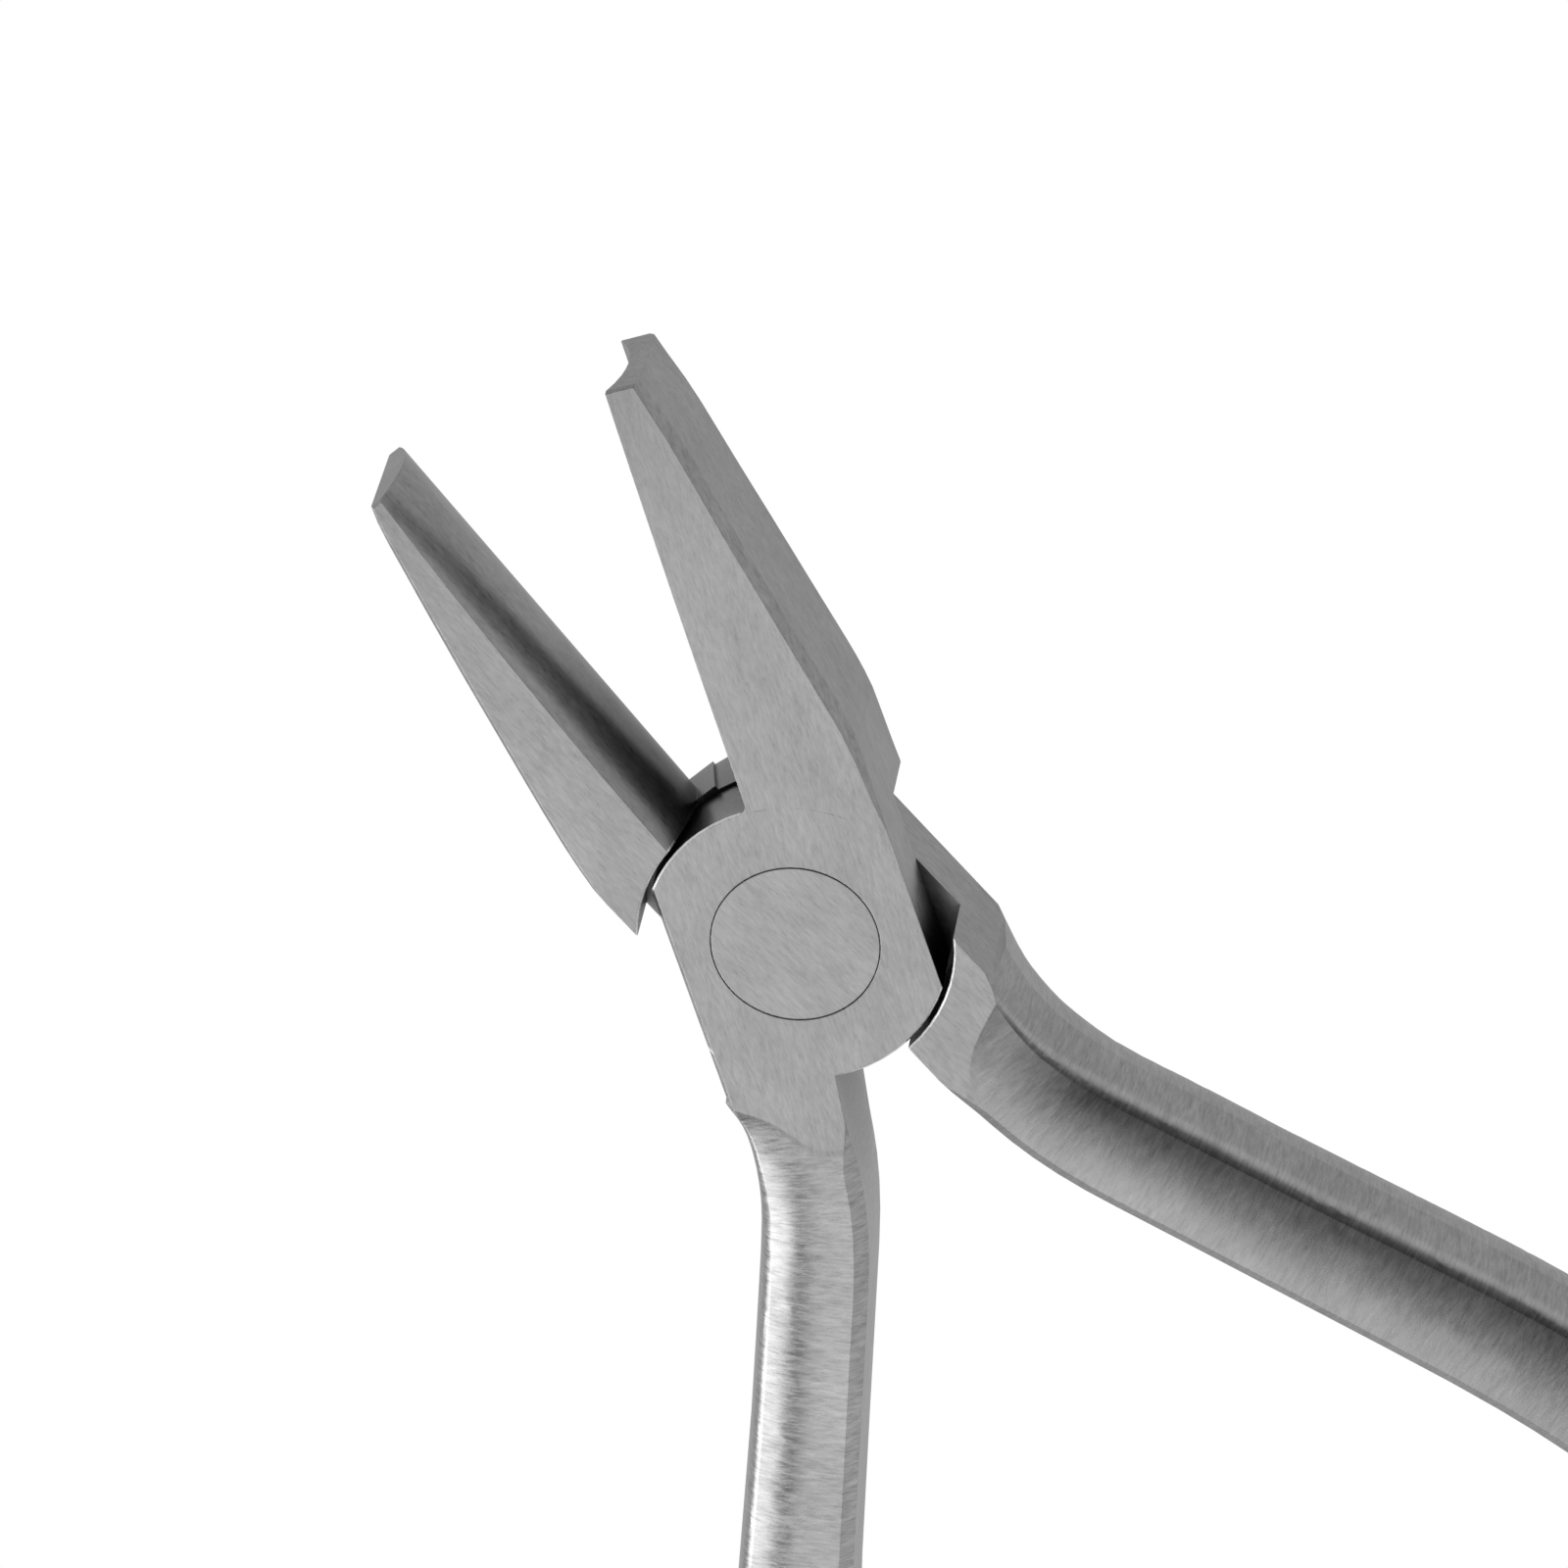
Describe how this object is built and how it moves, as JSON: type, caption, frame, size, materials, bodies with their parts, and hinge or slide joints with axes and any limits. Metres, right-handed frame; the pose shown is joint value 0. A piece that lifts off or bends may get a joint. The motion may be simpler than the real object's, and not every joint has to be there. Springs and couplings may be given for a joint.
{
  "type": "flat nose pliers",
  "caption": "Lap-joint jewellery pliers: curved steel levers on a flush rivet, with long tapering smooth jaws, one grooved along its length and one rounded to match.",
  "frame": {"origin": "on the pivot axis, at the flat back face of the joint", "axes": "+Z along the pivot axis, out of the front face; +Y along the jaws, midway between them as stored; +X towards the grooved jaw"},
  "size_m": [0.0768, 0.1318, 0.0077],
  "materials": {
    "front_lever_steel": "brushed, satin",
    "back_lever_steel": "brushed, satin",
    "rivet_steel": "ground flush, satin"
  },
  "bodies": {
    "front": {"front_lever": "front_lever_steel", "pivot_rivet": "rivet_steel"},
    "back": {"back_lever": "back_lever_steel"}
  },
  "joints": [
    {"name": "pivot", "type": "hinge", "parent": "front", "child": "back", "pos_m": [0, 0, 0], "axis": [0, 0, 1], "range_deg": [-23.5, 45]}
  ]
}
